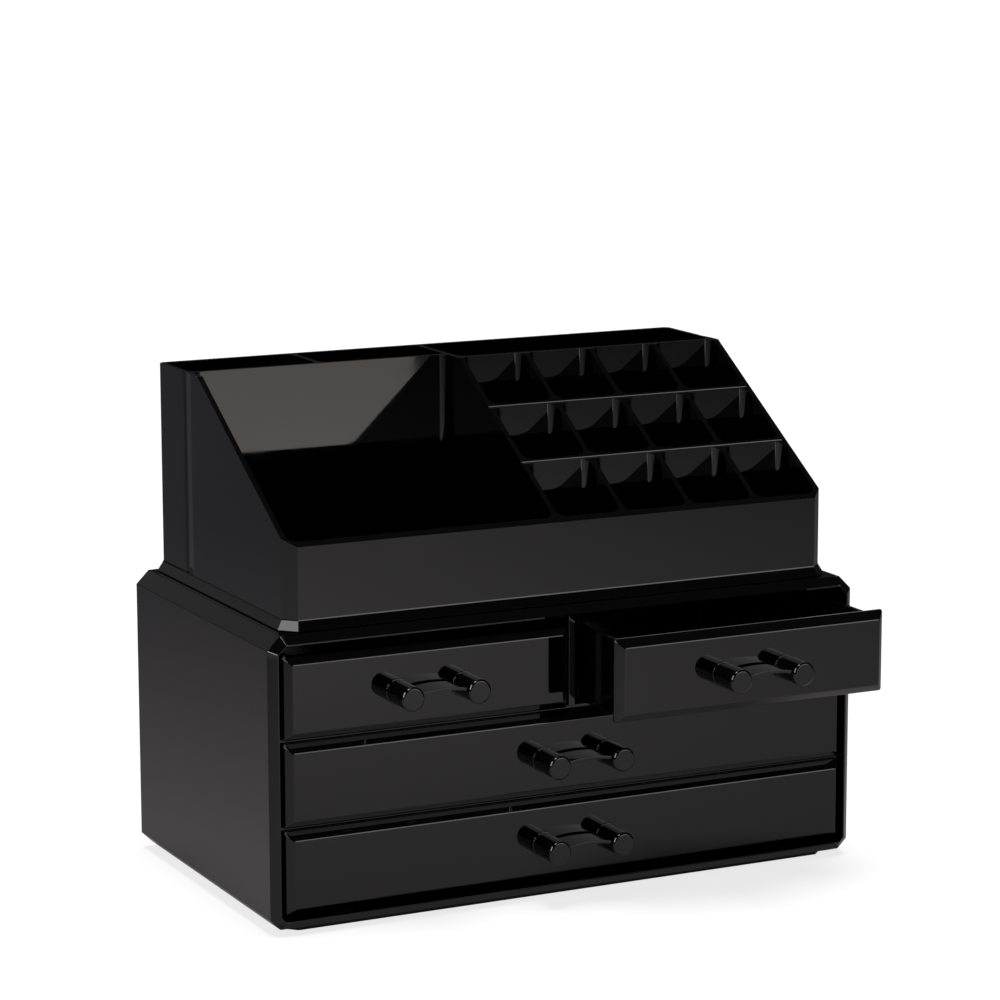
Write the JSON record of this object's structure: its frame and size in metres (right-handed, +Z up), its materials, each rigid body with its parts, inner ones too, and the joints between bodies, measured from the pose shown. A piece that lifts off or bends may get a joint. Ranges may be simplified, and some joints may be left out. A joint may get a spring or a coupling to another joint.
{
  "type": "makeup organizer with drawers",
  "caption": "Tabletop makeup organizer: a cabinet of sliding drawers carrying a lift-off tray with brush wells, an open front bay and a stepped lipstick rack.",
  "frame": {"origin": "on the table, under the middle of the cabinet: the centre of the plinth's underside", "axes": "+X to the right seen from the front, +Y to the back, +Z up; drawers open towards -Y"},
  "size_m": [0.24, 0.1768, 0.1896],
  "materials": {
    "black_gloss_plastic": "polished",
    "steel": "plated"
  },
  "bodies": {
    "cabinet": {"cabinet_left_side": "black_gloss_plastic", "cabinet_right_side": "black_gloss_plastic", "cabinet_top_panel": "black_gloss_plastic", "cabinet_base_panel": "black_gloss_plastic", "cabinet_back_panel": "black_gloss_plastic", "base_plinth": "black_gloss_plastic", "lower_shelf": "black_gloss_plastic", "upper_shelf": "black_gloss_plastic", "centre_divider": "black_gloss_plastic", "left_guide_strips": "black_gloss_plastic", "right_guide_strips": "black_gloss_plastic", "divider_guide_strips": "black_gloss_plastic", "base_runners": "black_gloss_plastic"},
    "upper_left_drawer": {"upper_left_drawer_box": "black_gloss_plastic", "upper_left_drawer_front": "black_gloss_plastic", "upper_left_drawer_handle": "black_gloss_plastic", "upper_left_drawer_screws": "steel"},
    "upper_right_drawer": {"upper_right_drawer_box": "black_gloss_plastic", "upper_right_drawer_front": "black_gloss_plastic", "upper_right_drawer_handle": "black_gloss_plastic", "upper_right_drawer_screws": "steel"},
    "middle_drawer": {"middle_drawer_box": "black_gloss_plastic", "middle_drawer_front": "black_gloss_plastic", "middle_drawer_handle": "black_gloss_plastic", "middle_drawer_screws": "steel"},
    "lower_drawer": {"lower_drawer_box": "black_gloss_plastic", "lower_drawer_front": "black_gloss_plastic", "lower_drawer_handle": "black_gloss_plastic", "lower_drawer_screws": "steel"},
    "organizer_tray": {"tray": "black_gloss_plastic"}
  },
  "joints": [
    {"name": "upper_left_drawer_slide", "type": "slide", "parent": "cabinet", "child": "upper_left_drawer", "axis": [0, -1, 0], "range_m": [0, 0.095]},
    {"name": "upper_right_drawer_slide", "type": "slide", "parent": "cabinet", "child": "upper_right_drawer", "axis": [0, -1, 0], "range_m": [-0.029, 0.066]},
    {"name": "middle_drawer_slide", "type": "slide", "parent": "cabinet", "child": "middle_drawer", "axis": [0, -1, 0], "range_m": [0, 0.095]},
    {"name": "lower_drawer_slide", "type": "slide", "parent": "cabinet", "child": "lower_drawer", "axis": [0, -1, 0], "range_m": [0, 0.095]},
    {"name": "tray_lift", "type": "slide", "parent": "cabinet", "child": "organizer_tray", "axis": [0, 0, 1], "range_m": [0, 0.1]}
  ]
}
